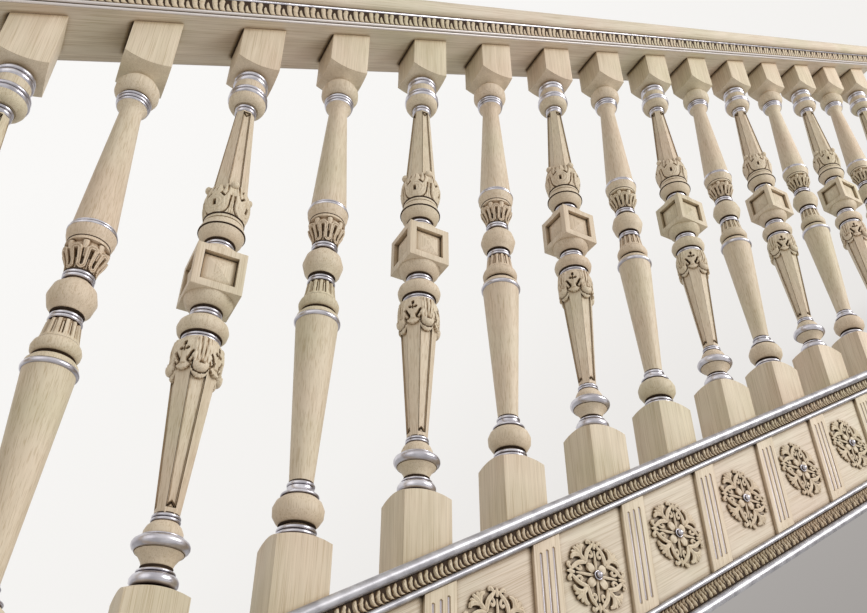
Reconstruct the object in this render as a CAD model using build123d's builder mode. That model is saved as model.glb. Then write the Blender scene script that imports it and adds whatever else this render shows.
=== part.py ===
"""Raking wooden stair balustrade with turned and carved balusters.

The run is seven bays long, and each bay has one panelled and one ball baluster over
one tread. The balusters stand on the cap of a closed string and carry a moulded
handrail. +X goes up the stair, +Y points from the open side to the stair, +Z is up.
The origin is on the back face of the string timber, at the middle of the run.
"""

import os
from math import atan2, cos, degrees, hypot, pi, radians, sin, sqrt

from build123d import *

# The stair
PITCH = 136.0  # going from one baluster to the next
RISE = 75.0  # rise from one baluster to the next
BAYS = 7  # one panelled and one ball baluster each, and a panelled one closes the run
SLOPE = RISE / PITCH
COUNT = 2 * BAYS + 1
RUN = COUNT * PITCH
BALL_SHIFT = -3.3  # ball balusters stand this much nearer the panelled one below

# Heights along the rake, above the corner ends of the lower baluster blocks
CAP_TOP = -70.0
STRING_BOTTOM = -288.0
RAIL_UNDERSIDE = 815.0
STRING_MIDDLE = (CAP_TOP + STRING_BOTTOM) / 2

# The string, in depth from the baluster axis: minus is the open side
STRING_BACK = 40.0
CORE_FRONT = -30.0
BOARD_FRONT = -53.0
TORUS_RADIUS = 7.4
CAP_THICKNESS = 2 * TORUS_RADIUS
TORUS_REACH = 3.0  # straight part behind the round
FOOT_TORUS_RADIUS = 7.0
STRING_BEAD_RADIUS = 4.0
FRIEZE_THICKNESS = 4.0
UPPER_FRIEZE_HEIGHT = 17.7
LOWER_FRIEZE_HEIGHT = 19.5
PILASTER_WIDTH = 37.0
PILASTER_PROUD = 5.0
FLUTES = 3
FLUTE_WIDTH = 4.0
FLUTE_SPACING = 9.0
FLUTE_DEPTH = 1.6
FLUTE_END_MARGIN = 12.0

# Baluster stock and the turned shoulder that its blocks share
STOCK = 60.0
STOCK_REACH = STOCK / 2 * sqrt(2) + 1.0
SHOULDER_RISE = 9.4
SHOULDER_BULGE = 6.2  # height of the shoulder at the middle of a face
SHOULDER_RADIUS = 20.5
UPPER_CORNER = 740.4  # corner ends of the upper block

# Panelled baluster
CUBE_BOTTOM = 340.0
CUBE_TOP = CUBE_BOTTOM + STOCK
PANEL_SIZE = 41.0
PANEL_DEPTH = 5.0
PYRAMID_HEIGHT = 4.0
PYRAMID_BASE = 39.0
PYRAMID_TIP = 3.0
PYRAMID_SLANT = degrees(atan2((PYRAMID_BASE - PYRAMID_TIP) / 2, PYRAMID_HEIGHT))
SHAFT_SIDES = 8
GROOVE_RADIUS = 2.0

# Handrail, in depth from the baluster axis
UNDERSIDE_HALF = 45.2
SUB_RAIL_HALF = 48.4
SUB_RAIL_SHOULDER = 54.0
SUB_RAIL_HEIGHT = 34.5
RAIL_BEAD_RADIUS = 2.5
FOOT_BEAD_RADIUS = 2.2  # two beads at the foot of the carved slant
BEAD_REACH = 0.5  # straight part behind a bead
RAIL_FRIEZE_THICKNESS = 2.5
RAIL_SIDE_RADIUS = 21.5
RAIL_SIDE_CENTRE = 46.0
RAIL_HEIGHT = 53.0

# The rake datum in the part's own frame
AXIS_Y = -STRING_BACK
RUN_START = -RUN / 2


def rake(x, height):
    """Height in the part's frame of a point at x, given above the rake datum."""
    return height - STRING_MIDDLE + x * SLOPE


def station_x(index):
    """Middle of an even division of the run, counted from the lowest."""
    return RUN_START + (index + 0.5) * PITCH


def baluster_x(index):
    """Place of a baluster along the run, counted from the lowest."""
    return station_x(index) + (BALL_SHIFT if index % 2 else 0)


def trace(start, moves):
    """Draws an outline: a two-number move is a line, a four-number one an arc through its middle."""
    here = start
    for move in moves:
        there = move[-2:]
        if len(move) == 2:
            Line(here, there)
        else:
            ThreePointArc(here, move[:2], there)
        here = there
    Line(here, start)


def raked_section(start, moves):
    """Extrudes one section, in depth from the axis and height over the datum, along the whole rake."""
    plane = Plane(origin=(RUN_START, AXIS_Y, rake(RUN_START, 0)), x_dir=(0, 1, 0), z_dir=(1, 0, 0))
    with BuildSketch(plane) as section:
        with BuildLine():
            trace(start, moves)
        make_face()
    extrude(section.sketch, amount=RUN * hypot(1, SLOPE), dir=(1, 0, SLOPE))


def half_round(front, middle, radius, reach):
    """Section of a bead or torus whose flat back lies at depth front."""
    face = front - reach
    return (
        (front, middle - radius),
        [
            (face, middle - radius),
            (face - radius, middle, face, middle + radius),
            (front, middle + radius),
        ],
    )


def lifted(moves, height):
    """The same moves, with their heights counted from the given one."""
    return [tuple(v + (height if k % 2 else 0) for k, v in enumerate(move)) for move in moves]


def turn(outline):
    """Turns an outline, in radius and height, from the square stock cut to the rake at both ends."""
    half = STOCK / 2
    with BuildSketch(Plane.XZ) as stock:
        with BuildLine():
            Polyline(
                (-half, CAP_TOP - half * SLOPE),
                (half, CAP_TOP + half * SLOPE),
                (half, RAIL_UNDERSIDE + half * SLOPE),
                (-half, RAIL_UNDERSIDE - half * SLOPE),
                close=True,
            )
        make_face()
    extrude(stock.sketch, amount=half, both=True)
    with BuildSketch(Plane.XZ) as profile:
        with BuildLine():
            trace((0, CAP_TOP - STOCK), [(STOCK_REACH, CAP_TOP - STOCK)] + outline)
        make_face()
    revolve(profile.sketch, axis=Axis.Z, mode=Mode.INTERSECT)


# Outlines in radius and height over the datum, the upper ends in height over the upper corners
LOWER_SHOULDER = [
    (STOCK_REACH, -0.5),
    (STOCK / 2, SHOULDER_BULGE, SHOULDER_RADIUS, SHOULDER_RISE),
]
UPPER_SHOULDER = [
    (SHOULDER_RADIUS, -SHOULDER_RISE),
    (STOCK / 2, -SHOULDER_BULGE, STOCK_REACH, 0.5),
]
UPPER_BLOCK = [(STOCK_REACH, RAIL_UNDERSIDE + STOCK), (0, RAIL_UNDERSIDE + STOCK)]

BALL_OUTLINE = LOWER_SHOULDER + [
    (21.8, 14.5, 19.6, 19.5),  # foot bead
    (16, 20),
    (16, 22),
    (27.9, 38.5, 18.5, 54),  # lower flattened ball
    (20.8, 55.8, 19.4, 58),  # double ring
    (15.5, 60.5, 14.6, 65.5),
    (15.2, 67.5, 14.2, 70),
    (13.1, 71),
    (25.9, 278),  # lower shaft
    (28.2, 281, 26.9, 284.4),  # bead
    (25.2, 290, 18.8, 294),  # quarter round
    (18.6, 296),
    (25.2, 305, 20.4, 314),  # torus
    (17.6, 324, 16.6, 338.5),  # flared bell
    (17.6, 342, 16.4, 345),  # double ring
    (17, 347, 14, 349),
    (25.9, 370.5, 14, 391.5),  # ball
    (16.8, 393.8, 15.8, 396.4),  # double ring
    (16.9, 398.6, 16.2, 401),
    (17.2, 412, 20, 418.5),  # leaf bell
    (24.6, 431, 22.7, 441.5),
    (22.6, 443),
    (26.2, 451.5, 27.2, 458),  # cup
    (27.4, 460, 26.2, 461.8),  # double ring
    (26.2, 463.6, 24.8, 465.4),
    (24.4, 467),
]
BALL_OUTLINE += lifted(
    [
        (13.6, -84.4),  # upper shaft
        (15, -75.4, 18.8, -69.4),
        (19.8, -67.4, 19, -65.4),  # triple ring
        (21, -63.2, 20.2, -61),
        (21.6, -58.8, 19.2, -56.4),
        (27.9, -38.4, 15, -20.4),  # upper flattened ball
        (13.5, -19.4),
        (13.5, -15.4),
    ]
    + UPPER_SHOULDER,
    UPPER_CORNER,
)
BALL_OUTLINE += UPPER_BLOCK

# Eight-sided shafts of the panelled baluster: height and half width across flats at each end
LOWER_SHAFT = ((81.0, 11.4), (246.0, 22.0))
UPPER_SHAFT = ((500.0, 21.2), (UPPER_CORNER - 82.9, 11.8))
SHAFT_CORE = 9.0

PANELLED_OUTLINE = LOWER_SHOULDER + [
    (18.5, 11),
    (23, 17, 16, 25.5),  # foot torus
    (14, 27),
    (14, 30),
    (17.5, 38.5, 24.6, 46),  # cup
    (27.9, 52, 21, 58.5),  # large torus
    (19.4, 59.5),
    (17.6, 68.5, 13, 74),  # bell
    (14.2, 75.8, 13.2, 77.6),  # double ring
    (13.9, 79.5, 12.8, 81.5),
    (SHAFT_CORE, 82.5),
    (SHAFT_CORE, 243),
    (25, 243),
    (28.2, 259, 20.2, 279),  # leaf capital
    (21.8, 281, 20.4, 283),  # double ring
    (21.6, 285.2, 19.6, 287.2),
    (29, 299, 18.4, 311),  # torus
    (17.6, 313.5),
    (18.8, 316, 17, 318.4),  # double ring
    (17.8, 321, 15.6, 323.6),
    (15.2, 325),
    (25.2, 331.5, 28.5, CUBE_BOTTOM),  # bowl
    (STOCK_REACH, CUBE_BOTTOM),
    (STOCK_REACH, CUBE_TOP),
    (28.5, CUBE_TOP),
    (25.2, 408.5, 15.4, 413),  # bowl
    (17.8, 415.4, 16.4, 417.8),  # double ring
    (17.6, 420.2, 16.2, 422.6),
    (24.5, 430, 27.6, 438.5),  # disc
    (26.6, 439.6),
    (29, 440.6),
    (25.2, 451),
    (23.6, 452),
    (24.4, 453),
    (24.4, 456.6),
    (22.6, 457.5),
    (27.6, 481, 24.4, 502),  # scroll collar
    (SHAFT_CORE, 502),
]
PANELLED_OUTLINE += lifted(
    [
        (SHAFT_CORE, -84.4),
        (13, -83.4),
        (14.3, -80.4, 13.4, -77.9),  # double ring
        (14.4, -75.7, 14, -73.4),
        (23.5, -67.4, 25.8, -58.4),  # cup
        (27, -55.4, 25.6, -52.2),  # double wide ring
        (26.4, -48.8, 24, -45.2),
        (21.8, -43.9),
        (21, -36.4, 21.8, -28.9),  # spool
        (23.6, -25, 22, -21.1),  # double ring
        (23.2, -17.2, 20.6, -13.2),
        (16, -12),
        (16, -11.2),
    ]
    + UPPER_SHOULDER,
    UPPER_CORNER,
)
PANELLED_OUTLINE += UPPER_BLOCK


def eight_sided_shaft(ends):
    """Adds a tapered eight-sided shaft whose arrises are grooved."""
    (low, low_half), (high, high_half) = ends
    turn_by = 180 / SHAFT_SIDES
    with BuildSketch(Plane.XY.offset(low)) as lower_end:
        RegularPolygon(low_half, SHAFT_SIDES, major_radius=False, rotation=turn_by)
    swell = degrees(atan2(high_half - low_half, high - low))
    extrude(lower_end.sketch, amount=high - low, taper=-swell)
    margin = 9.0
    corner = 1 / cos(radians(turn_by))
    lean = (high_half - low_half) * corner / (high - low)
    start_z = low + margin
    start_r = low_half * corner + lean * margin
    for side in range(SHAFT_SIDES):
        angle = radians(turn_by + 360 / SHAFT_SIDES * side)
        out = (cos(angle), sin(angle))
        start = (start_r * out[0], start_r * out[1], start_z)
        along = (lean * out[0], lean * out[1], 1)
        with BuildSketch(Plane(origin=start, x_dir=(-out[1], out[0], 0), z_dir=along)) as cutter:
            RegularPolygon(GROOVE_RADIUS, 4, rotation=90)
        extrude(cutter.sketch, amount=(high - low - 2 * margin) * hypot(1, lean), mode=Mode.SUBTRACT)


def sunk_panels():
    """Sinks a panel with a raised pyramid into each face of the middle block."""
    middle = (CUBE_BOTTOM + CUBE_TOP) / 2
    for side in range(4):
        angle = radians(90 * side)
        out = (cos(angle), sin(angle), 0)
        along = (-out[1], out[0], 0)
        face = Plane(origin=(STOCK / 2 * out[0], STOCK / 2 * out[1], middle), x_dir=along, z_dir=out)
        with BuildSketch(face) as panel:
            Rectangle(PANEL_SIZE, PANEL_SIZE)
        extrude(panel.sketch, amount=-PANEL_DEPTH, mode=Mode.SUBTRACT)
        with BuildSketch(face.offset(-PANEL_DEPTH)) as base:
            Rectangle(PYRAMID_BASE, PYRAMID_BASE)
        extrude(base.sketch, amount=PYRAMID_HEIGHT, taper=PYRAMID_SLANT)


with BuildPart() as ball_pattern:
    turn(BALL_OUTLINE)

with BuildPart() as panelled_pattern:
    turn(PANELLED_OUTLINE)
    eight_sided_shaft(LOWER_SHAFT)
    eight_sided_shaft(UPPER_SHAFT)
    sunk_panels()

os.makedirs("parts", exist_ok=True)

# Balusters, in turn up the stair
for index in range(COUNT):
    panelled = index % 2 == 0
    pattern = panelled_pattern if panelled else ball_pattern
    x = baluster_x(index)
    with BuildPart() as baluster:
        with Locations((x, AXIS_Y, rake(x, 0))):
            add(pattern.part)
    kind = "panelled" if panelled else "ball"
    label = f"{kind}_baluster_{index // 2 + 1}"
    baluster.part.label = label
    export_step(baluster.part, f"parts/{label}.step")

# String timber, which carries the rest and bolts to the stair
CAP_UNDERSIDE = CAP_TOP - CAP_THICKNESS
with BuildPart() as string_timber:
    raked_section(
        (CORE_FRONT, STRING_BOTTOM),
        [(STRING_BACK, STRING_BOTTOM), (STRING_BACK, CAP_UNDERSIDE), (CORE_FRONT, CAP_UNDERSIDE)],
    )
string_timber.part.label = "string_timber"
export_step(string_timber.part, "parts/string_timber.step")

with BuildPart() as face_board:
    raked_section(
        (BOARD_FRONT, STRING_BOTTOM),
        [(CORE_FRONT, STRING_BOTTOM), (CORE_FRONT, CAP_UNDERSIDE), (BOARD_FRONT, CAP_UNDERSIDE)],
    )
face_board.part.label = "string_face_board"
export_step(face_board.part, "parts/string_face_board.step")

with BuildPart() as cap_board:
    raked_section(
        (BOARD_FRONT, CAP_UNDERSIDE),
        [(STRING_BACK, CAP_UNDERSIDE), (STRING_BACK, CAP_TOP), (BOARD_FRONT, CAP_TOP)],
    )
cap_board.part.label = "string_cap"
export_step(cap_board.part, "parts/string_cap.step")

# Mouldings on the open face of the string, from the cap downwards
UPPER_TORUS_MIDDLE = CAP_TOP - TORUS_RADIUS
UPPER_FRIEZE_TOP = UPPER_TORUS_MIDDLE - TORUS_RADIUS
UPPER_BEAD_MIDDLE = UPPER_FRIEZE_TOP - UPPER_FRIEZE_HEIGHT - STRING_BEAD_RADIUS
PANEL_TOP = UPPER_BEAD_MIDDLE - STRING_BEAD_RADIUS
FOOT_TORUS_MIDDLE = STRING_BOTTOM + FOOT_TORUS_RADIUS
LOWER_FRIEZE_TOP = FOOT_TORUS_MIDDLE + FOOT_TORUS_RADIUS + LOWER_FRIEZE_HEIGHT
LOWER_BEAD_MIDDLE = LOWER_FRIEZE_TOP + STRING_BEAD_RADIUS
PANEL_BOTTOM = LOWER_BEAD_MIDDLE + STRING_BEAD_RADIUS

ROUNDS = {
    "string_upper_torus": (UPPER_TORUS_MIDDLE, TORUS_RADIUS, TORUS_REACH),
    "string_upper_bead": (UPPER_BEAD_MIDDLE, STRING_BEAD_RADIUS, FRIEZE_THICKNESS),
    "string_lower_bead": (LOWER_BEAD_MIDDLE, STRING_BEAD_RADIUS, FRIEZE_THICKNESS),
    "string_foot_torus": (FOOT_TORUS_MIDDLE, FOOT_TORUS_RADIUS, TORUS_REACH),
}
for name, (middle, radius, reach) in ROUNDS.items():
    with BuildPart() as moulding:
        raked_section(*half_round(BOARD_FRONT, middle, radius, reach))
    moulding.part.label = name
    export_step(moulding.part, f"parts/{name}.step")

FRIEZES = {
    "string_upper_frieze": (UPPER_FRIEZE_TOP, UPPER_FRIEZE_HEIGHT),
    "string_lower_frieze": (LOWER_FRIEZE_TOP, LOWER_FRIEZE_HEIGHT),
}
for name, (top, height) in FRIEZES.items():
    front = BOARD_FRONT - FRIEZE_THICKNESS
    with BuildPart() as frieze:
        raked_section((front, top - height), [(BOARD_FRONT, top - height), (BOARD_FRONT, top), (front, top)])
    frieze.part.label = name
    export_step(frieze.part, f"parts/{name}.step")

# Fluted pilasters, one at each station
with BuildPart() as pilasters:
    front_plane = Plane(origin=(0, AXIS_Y + BOARD_FRONT, 0), x_dir=(1, 0, 0), z_dir=(0, -1, 0))
    for index in range(COUNT):
        x = station_x(index)
        left = x - PILASTER_WIDTH / 2
        right = x + PILASTER_WIDTH / 2
        with BuildSketch(front_plane):
            with BuildLine():
                Polyline(
                    (left, rake(left, PANEL_BOTTOM)),
                    (right, rake(right, PANEL_BOTTOM)),
                    (right, rake(right, PANEL_TOP)),
                    (left, rake(left, PANEL_TOP)),
                    close=True,
                )
            make_face()
        extrude(amount=PILASTER_PROUD)
    flute_length = PANEL_TOP - PANEL_BOTTOM - 2 * FLUTE_END_MARGIN
    flute_middle = (PANEL_TOP + PANEL_BOTTOM) / 2
    with BuildSketch(front_plane.offset(PILASTER_PROUD)):
        for index in range(COUNT):
            for flute in range(FLUTES):
                x = station_x(index) + (flute - (FLUTES - 1) / 2) * FLUTE_SPACING
                with Locations((x, rake(x, flute_middle))):
                    SlotOverall(flute_length, FLUTE_WIDTH, rotation=90)
    extrude(amount=-FLUTE_DEPTH, mode=Mode.SUBTRACT)
pilasters.part.label = "string_pilasters"
export_step(pilasters.part, "parts/string_pilasters.step")

# Applied openwork ornaments, one in each panel between two pilasters
ORNAMENT_HALF_WIDTH = 40.0
ORNAMENT_HALF_HEIGHT = 42.0
ORNAMENT_THICKNESS = 4.0
ORNAMENT_RING = 9.0
with BuildPart() as ornaments:
    for index in range(COUNT - 1):
        x = station_x(index) + PITCH / 2
        middle = rake(x, flute_middle)
        with BuildSketch(front_plane):
            with Locations((x, middle)):
                Ellipse(ORNAMENT_HALF_WIDTH, ORNAMENT_HALF_HEIGHT)
                Ellipse(
                    ORNAMENT_HALF_WIDTH - ORNAMENT_RING,
                    ORNAMENT_HALF_HEIGHT - ORNAMENT_RING,
                    mode=Mode.SUBTRACT,
                )
                Rectangle(2 * ORNAMENT_HALF_WIDTH - ORNAMENT_RING, ORNAMENT_RING)
                Rectangle(ORNAMENT_RING, 2 * ORNAMENT_HALF_HEIGHT - ORNAMENT_RING)
                Circle(ORNAMENT_RING)
        extrude(amount=ORNAMENT_THICKNESS)
ornaments.part.label = "string_ornaments"
export_step(ornaments.part, "parts/string_ornaments.step")

# Sub-rail: the board that the baluster tops are housed against
SUB_RAIL_TOP = RAIL_UNDERSIDE + SUB_RAIL_HEIGHT
BEAD_SEAT = 2 * RAIL_BEAD_RADIUS
FOOT_BEAD_SEAT = 2 * FOOT_BEAD_RADIUS
LOWER_FOOT_BEAD = RAIL_UNDERSIDE + 0.4 + FOOT_BEAD_RADIUS
FOOT_STEP = LOWER_FOOT_BEAD + FOOT_BEAD_RADIUS
UPPER_FOOT_BEAD = FOOT_STEP + FOOT_BEAD_RADIUS
SLANT_LOW = (SUB_RAIL_HALF, FOOT_STEP + FOOT_BEAD_SEAT + 1.5)
SLANT_HIGH = (SUB_RAIL_SHOULDER, SUB_RAIL_TOP - BEAD_SEAT)
with BuildPart() as sub_rail:
    raked_section(
        (-UNDERSIDE_HALF, RAIL_UNDERSIDE),
        [
            (UNDERSIDE_HALF, RAIL_UNDERSIDE),
            (UNDERSIDE_HALF, FOOT_STEP),
            (SUB_RAIL_HALF, FOOT_STEP),
            SLANT_LOW,
            SLANT_HIGH,
            (SUB_RAIL_SHOULDER, SUB_RAIL_TOP),
            (-SUB_RAIL_SHOULDER, SUB_RAIL_TOP),
            (-SLANT_HIGH[0], SLANT_HIGH[1]),
            (-SLANT_LOW[0], SLANT_LOW[1]),
            (-SUB_RAIL_HALF, FOOT_STEP),
            (-UNDERSIDE_HALF, FOOT_STEP),
        ],
    )
sub_rail.part.label = "sub_rail"
export_step(sub_rail.part, "parts/sub_rail.step")

# Beads below and above the carved slants of the rail, on both sides
RAIL_BEADS = {
    "rail_lower_beads": (
        (UNDERSIDE_HALF, LOWER_FOOT_BEAD, FOOT_BEAD_RADIUS),
        (SUB_RAIL_HALF, UPPER_FOOT_BEAD, FOOT_BEAD_RADIUS),
    ),
    "rail_upper_beads": ((SUB_RAIL_SHOULDER, SUB_RAIL_TOP - RAIL_BEAD_RADIUS, RAIL_BEAD_RADIUS),),
}
for name, rows in RAIL_BEADS.items():
    with BuildPart() as beads:
        for seat, middle, radius in rows:
            for side in (-1, 1):
                start, moves = half_round(-seat, middle, radius, BEAD_REACH)
                mirrored = [tuple(v * (side if k % 2 == 0 else 1) for k, v in enumerate(m)) for m in moves]
                raked_section((start[0] * side, start[1]), mirrored)
    beads.part.label = name
    export_step(beads.part, f"parts/{name}.step")

slant = hypot(SLANT_HIGH[0] - SLANT_LOW[0], SLANT_HIGH[1] - SLANT_LOW[1])
slant_out = (
    RAIL_FRIEZE_THICKNESS * (SLANT_HIGH[1] - SLANT_LOW[1]) / slant,
    -RAIL_FRIEZE_THICKNESS * (SLANT_HIGH[0] - SLANT_LOW[0]) / slant,
)
with BuildPart() as rail_friezes:
    for side in (-1, 1):
        raked_section(
            (side * SLANT_LOW[0], SLANT_LOW[1]),
            [
                (side * SLANT_HIGH[0], SLANT_HIGH[1]),
                (side * (SLANT_HIGH[0] + slant_out[0]), SLANT_HIGH[1] + slant_out[1]),
                (side * (SLANT_LOW[0] + slant_out[0]), SLANT_LOW[1] + slant_out[1]),
            ],
        )
rail_friezes.part.label = "rail_friezes"
export_step(rail_friezes.part, "parts/rail_friezes.step")

# Handrail body: rounded sides and a low crown
SIDE_MIDDLE = SUB_RAIL_TOP + 19.0
RAIL_TOP = SUB_RAIL_TOP + RAIL_HEIGHT


def rail_side(degrees_up):
    """Point on the round of the rail's side."""
    angle = radians(degrees_up)
    return (
        RAIL_SIDE_CENTRE + RAIL_SIDE_RADIUS * cos(angle),
        SIDE_MIDDLE + RAIL_SIDE_RADIUS * sin(angle),
    )


def flip(point):
    return (-point[0], point[1])


with BuildPart() as handrail:
    low, widest, high = rail_side(-44), rail_side(12), rail_side(72)
    crown = ((high[0]) / 2, RAIL_TOP - 3.0)
    raked_section(
        (-SUB_RAIL_SHOULDER, SUB_RAIL_TOP),
        [
            (SUB_RAIL_SHOULDER, SUB_RAIL_TOP),
            low,
            widest + high,
            crown + (0, RAIL_TOP),
            flip(crown) + flip(high),
            flip(widest) + flip(low),
        ],
    )
handrail.part.label = "handrail"
export_step(handrail.part, "parts/handrail.step")
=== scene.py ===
"""Looks of a raking stair balustrade: limed oak turnings, carved leaves and silver leaf."""

from math import atan, atan2, ceil, cos, degrees, pi, radians, sin, sqrt, tau

import bpy
from mathutils import Matrix, Vector


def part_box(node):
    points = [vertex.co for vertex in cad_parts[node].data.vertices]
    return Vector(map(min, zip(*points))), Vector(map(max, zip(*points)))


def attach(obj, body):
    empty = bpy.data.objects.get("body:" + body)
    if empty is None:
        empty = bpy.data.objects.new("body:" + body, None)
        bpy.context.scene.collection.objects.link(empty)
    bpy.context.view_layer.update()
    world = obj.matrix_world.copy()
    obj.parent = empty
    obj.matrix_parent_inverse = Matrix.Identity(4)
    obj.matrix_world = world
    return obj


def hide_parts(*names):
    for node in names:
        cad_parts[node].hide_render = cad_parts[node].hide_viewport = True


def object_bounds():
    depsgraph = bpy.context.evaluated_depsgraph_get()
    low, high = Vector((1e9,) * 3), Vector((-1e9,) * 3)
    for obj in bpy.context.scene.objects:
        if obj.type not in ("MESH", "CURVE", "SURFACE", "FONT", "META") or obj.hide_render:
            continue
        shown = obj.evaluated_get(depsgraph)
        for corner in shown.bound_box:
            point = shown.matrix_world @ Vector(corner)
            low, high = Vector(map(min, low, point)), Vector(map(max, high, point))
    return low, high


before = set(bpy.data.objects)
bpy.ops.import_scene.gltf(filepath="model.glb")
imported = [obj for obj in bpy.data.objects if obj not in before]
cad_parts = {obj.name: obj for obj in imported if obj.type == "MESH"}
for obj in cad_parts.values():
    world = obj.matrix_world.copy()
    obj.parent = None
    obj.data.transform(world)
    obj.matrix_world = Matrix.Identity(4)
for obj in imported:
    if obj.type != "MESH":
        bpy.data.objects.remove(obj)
cad_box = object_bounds()

MM = 0.001
NEAR = 0.1 * MM

# The run, read from the frame
PANELLED = [f"panelled_baluster_{i}" for i in range(1, 9)]
BALLED = [f"ball_baluster_{i}" for i in range(1, 8)]


def middle_x(node):
    low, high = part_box(node)
    return (low[0] + high[0]) / 2


PITCH = (middle_x(PANELLED[1]) - middle_x(PANELLED[0])) / 2
FIRST_X = middle_x(PANELLED[0])
COUNT = len(PANELLED) + len(BALLED)
RUN = COUNT * PITCH
RUN_START = FIRST_X - PITCH / 2
RISE = (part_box(PANELLED[-1])[0][2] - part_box(PANELLED[0])[0][2]) / (COUNT - 1)
SLOPE = RISE / PITCH
RAKE = atan(SLOPE)
STOCK = (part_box(PANELLED[0])[1][0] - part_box(PANELLED[0])[0][0]) / MM
AXIS_Y = (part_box(PANELLED[0])[1][1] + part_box(PANELLED[0])[0][1]) / 2

# Heights along the rake in millimetres, above the corner ends of the lower baluster blocks
CAP_TOP = -70.0
RAIL_UNDERSIDE = 815.0
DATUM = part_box(PANELLED[0])[0][2] / MM - CAP_TOP + STOCK / 2 * SLOPE  # datum height at the first baluster


def datum(x):
    """Height of the rake datum at x, in metres."""
    return DATUM * MM + (x - FIRST_X) * SLOPE


# Finishes
SHADER = "Principled BSDF"
WHITE = (1.0, 1.0, 1.0)


def finish(name):
    material = bpy.data.materials.new(name)
    material.use_nodes = True
    return material, material.node_tree


def plain_finish(name, colour, **settings):
    """A finish that is the same all over."""
    material, tree = finish(name)
    inputs = tree.nodes[SHADER].inputs
    inputs["Base Color"].default_value = (*colour, 1)
    for socket, value in settings.items():
        inputs[socket.replace("_", " ")].default_value = value
    return material


def add_node(tree, kind, settings=None, **sockets):
    """Adds a node; a socket is given a value or another node's output."""
    new = tree.nodes.new(kind)
    for key, value in (settings or {}).items():
        setattr(new, key, value)
    for key, value in sockets.items():
        socket = new.inputs[int(key[1:])] if key[0] == "_" else new.inputs[key.replace("_", " ")]
        if isinstance(value, bpy.types.NodeSocket):
            tree.links.new(value, socket)
        else:
            socket.default_value = value
    return new


def ramp(tree, factor, stops):
    new = add_node(tree, "ShaderNodeValToRGB", Fac=factor)
    elements = new.color_ramp.elements
    while len(elements) < len(stops):
        elements.new(0.5)
    for element, (place, colour) in zip(elements, stops):
        element.position = place
        element.color = (*colour, 1)
    return new.outputs["Color"]


def mixed(tree, factor, first, second, blend="MIX"):
    new = add_node(tree, "ShaderNodeMix", {"data_type": "RGBA", "blend_type": blend}, _0=factor)
    for index, value in ((6, first), (7, second)):
        if isinstance(value, bpy.types.NodeSocket):
            tree.links.new(value, new.inputs[index])
        else:
            new.inputs[index].default_value = (*value, 1)
    return new.outputs[2]


def oak(name, tilt, light, deep, patina_and_painted_shade, patina_and_shade_reach, places):
    """Limed oak with its grain at a tilt, darkened in its hollows by patina and painted shade; places are the
    openness at which it is painted near-black shade, patina with painted shade, and clean.
    """
    material, tree = finish(name)
    shader = tree.nodes[SHADER]
    place = add_node(tree, "ShaderNodeTexCoord").outputs["Object"]
    along = add_node(tree, "ShaderNodeMapping", Vector=place, Rotation=(0, tilt, 0))
    streak_place, pore_place = (
        add_node(tree, "ShaderNodeMapping", Vector=along.outputs[0], Scale=(1, 1, length)).outputs[0]
        for length in (0.035, 0.012)
    )
    bands = add_node(tree, "ShaderNodeTexNoise", Vector=streak_place, Scale=45, Detail=3, Distortion=0.6)
    streaks = add_node(tree, "ShaderNodeTexNoise", Vector=streak_place, Scale=320, Detail=4)
    pores = add_node(tree, "ShaderNodeTexNoise", Vector=pore_place, Scale=1100, Detail=2)
    clouds = add_node(tree, "ShaderNodeTexNoise", Vector=place, Scale=7, Detail=2)
    colour = ramp(tree, bands.outputs[0], ((0.32, deep), (0.68, light)))
    colour = mixed(tree, 0.45, colour, ramp(tree, streaks.outputs[0], ((0.3, deep), (0.7, light))))
    tone = ramp(tree, clouds.outputs[0], ((0.32, GREEN_TINGE), (0.5, WHITE), (0.68, PINK_TINGE)))
    colour = mixed(tree, 1.0, colour, tone, "MULTIPLY")
    pore_tone = ramp(tree, pores.outputs[0], ((0.37, PORE_BROWN), (0.48, WHITE)))
    colour = mixed(tree, 0.8, colour, pore_tone, "MULTIPLY")
    # Painted shade: ambient occlusion darkens the colour in hollows, creases and under parts down to near black; the
    # brown middle tone is patina with painted shade
    hollow = add_node(tree, "ShaderNodeAmbientOcclusion", {"samples": 8}, Distance=patina_and_shade_reach)
    shade = ramp(tree, hollow.outputs["AO"], tuple(zip(places, (PAINTED_SHADE_BLACK, patina_and_painted_shade, WHITE))))
    colour = mixed(tree, 1.0, colour, shade, "MULTIPLY")
    tree.links.new(colour, shader.inputs["Base Color"])
    roughness = add_node(tree, "ShaderNodeMapRange", Value=streaks.outputs[0], _3=0.48, _4=0.62)
    tree.links.new(roughness.outputs[0], shader.inputs["Roughness"])
    shader.inputs["Specular IOR Level"].default_value = 0.3
    grain = add_node(tree, "ShaderNodeBump", Strength=0.25, Distance=0.0003, Height=pores.outputs[0])
    tree.links.new(grain.outputs[0], shader.inputs["Normal"])
    return material


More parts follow.
